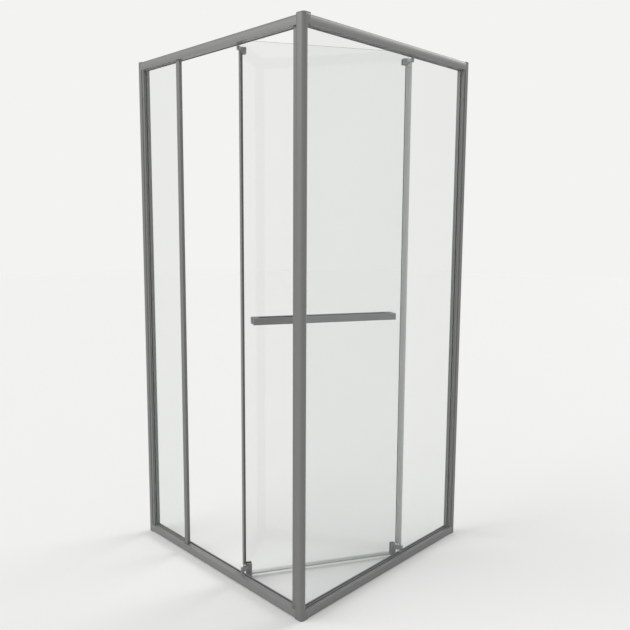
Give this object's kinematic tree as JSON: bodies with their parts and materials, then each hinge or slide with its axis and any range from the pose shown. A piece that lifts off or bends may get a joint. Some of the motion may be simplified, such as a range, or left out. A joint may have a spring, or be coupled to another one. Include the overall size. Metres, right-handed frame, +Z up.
{
  "type": "shower_enclosure",
  "caption": "Framed corner shower enclosure with clear glass, a fixed side and a narrow fixed pane, and one glass door that slides and turns round the corner on a long handle bar.",
  "frame": {"origin": "on the floor under the middle of the square plan", "axes": "+Z up; the left side runs from the corner post along -X, the right side along +Y"},
  "size_m": [0.875, 0.875, 1.8535],
  "materials": {
    "frame_aluminium": "satin anodised",
    "cap_plastic": "satin grey",
    "connector_plastic": "matte",
    "buffer_rubber": "matte",
    "steel": "plain",
    "clear_glass": "clear toughened",
    "gasket_rubber": "matte",
    "seal_rubber": "matte",
    "clear_seal": "translucent",
    "chrome": "polished",
    "running_plastic": "satin"
  },
  "bodies": {
    "frame": {"corner_post": "frame_aluminium", "left_top_rail": "frame_aluminium", "right_top_rail": "frame_aluminium", "left_bottom_rail": "frame_aluminium", "right_bottom_rail": "frame_aluminium", "left_wall_profile": "frame_aluminium", "right_wall_profile": "frame_aluminium", "left_adjusting_profile": "frame_aluminium", "right_adjusting_profile": "frame_aluminium", "corner_connectors": "connector_plastic", "rail_end_connectors": "connector_plastic", "corner_cap": "cap_plastic", "wall_profile_caps": "cap_plastic", "rail_screws": "steel", "glazing_screws": "steel", "glazing_screw_caps": "cap_plastic", "mullion": "frame_aluminium", "mullion_plugs": "connector_plastic", "left_fixed_glass": "clear_glass", "right_fixed_glass": "clear_glass", "left_glass_gaskets": "gasket_rubber", "right_glass_gaskets": "gasket_rubber", "setting_blocks": "gasket_rubber", "doorway_infill_top": "frame_aluminium", "doorway_infill_bottom": "frame_aluminium", "doorway_infill_post": "frame_aluminium", "track_buffers": "buffer_rubber", "track_stops": "connector_plastic"},
    "corner_link": {"corner_cap_screw": "steel"},
    "door": {"door_glass": "clear_glass", "door_left_seal": "seal_rubber", "door_right_profile": "frame_aluminium", "door_right_fin": "clear_seal", "door_bottom_seal": "clear_seal", "bottom_right_bracket": "chrome", "bottom_left_bracket": "chrome", "top_right_bracket": "chrome", "top_left_bracket": "chrome", "bracket_arms": "chrome", "bracket_plates": "chrome", "bracket_pads": "buffer_rubber", "bracket_screws": "steel", "top_roller_pins": "steel", "handle_outer_bar": "chrome", "handle_inner_bar": "chrome", "handle_end_caps": "chrome", "handle_blocks": "chrome", "handle_washers": "clear_seal", "handle_bolts": "steel"},
    "left_castor": {"left_castor": "running_plastic", "left_castor_axle": "steel"},
    "right_castor": {"right_castor": "running_plastic", "right_castor_axle": "steel"},
    "left_wheel": {"left_castor_wheel": "running_plastic"},
    "right_wheel": {"right_castor_wheel": "running_plastic"},
    "left_roller": {"top_left_roller": "running_plastic"},
    "right_roller": {"top_right_roller": "running_plastic"}
  },
  "joints": [
    {"name": "door_travel", "type": "hinge", "parent": "frame", "child": "corner_link", "pos_m": [0.4145, -0.4145, 1.85], "axis": [0, 0, -1], "range_deg": [-59.16, 27.16]},
    {"name": "door_turn", "type": "hinge", "parent": "corner_link", "child": "door", "pos_m": [0.26712, -0.14862, 0.925], "axis": [0, 0, 1], "range_deg": [-118.32, 54.32]},
    {"name": "left_castor_swivel", "type": "hinge", "parent": "door", "child": "left_castor", "pos_m": [0.11974, -0.4145, 0.04], "axis": [0, 0, -1], "range_deg": [-59.16, 27.16]},
    {"name": "right_castor_swivel", "type": "hinge", "parent": "door", "child": "right_castor", "pos_m": [0.4145, 0.11727, 0.04], "axis": [0, 0, -1], "range_deg": [-59.16, 27.16]},
    {"name": "left_wheel_roll", "type": "hinge", "parent": "left_castor", "child": "left_wheel", "pos_m": [0.11974, -0.4145, 0.0101], "axis": [0, 1, 0], "continuous": true},
    {"name": "right_wheel_roll", "type": "hinge", "parent": "right_castor", "child": "right_wheel", "pos_m": [0.4145, 0.11727, 0.0101], "axis": [1, 0, 0], "continuous": true},
    {"name": "left_roller_turn", "type": "hinge", "parent": "door", "child": "left_roller", "pos_m": [0.11974, -0.4145, 1.829], "axis": [0, 0, 1], "continuous": true},
    {"name": "right_roller_turn", "type": "hinge", "parent": "door", "child": "right_roller", "pos_m": [0.4145, 0.11727, 1.829], "axis": [0, 0, 1], "continuous": true}
  ],
  "couplings": [
    {"joint": "door_turn", "follows": "door_travel", "ratio": 2},
    {"joint": "left_castor_swivel", "follows": "door_travel", "ratio": 1},
    {"joint": "right_castor_swivel", "follows": "door_travel", "ratio": 1}
  ]
}
